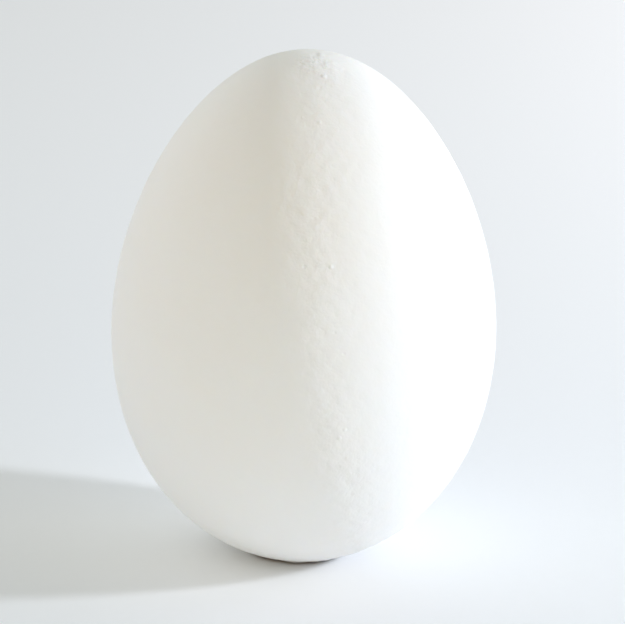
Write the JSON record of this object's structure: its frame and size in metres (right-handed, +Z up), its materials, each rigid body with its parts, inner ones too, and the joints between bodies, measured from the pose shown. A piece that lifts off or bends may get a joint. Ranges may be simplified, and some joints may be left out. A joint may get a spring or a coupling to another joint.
{
  "type": "chicken egg",
  "caption": "White hen's egg, whole and matt, standing upright on its blunt end on a small flat spot.",
  "frame": {"origin": "middle of the flat spot that the egg stands on, in the plane of the surface under it", "axes": "+Z up the egg's own axis, from its blunt end to its pointed end; the egg is round about +Z, so +X and +Y only name the picture's view: the camera is on the -Y side and +X is its right"},
  "size_m": [0.043, 0.043, 0.0577],
  "materials": {
    "eggshell": "matt, unglazed, finely bumpy like orange peel"
  },
  "bodies": {
    "root": {"egg": "eggshell"}
  },
  "joints": []
}
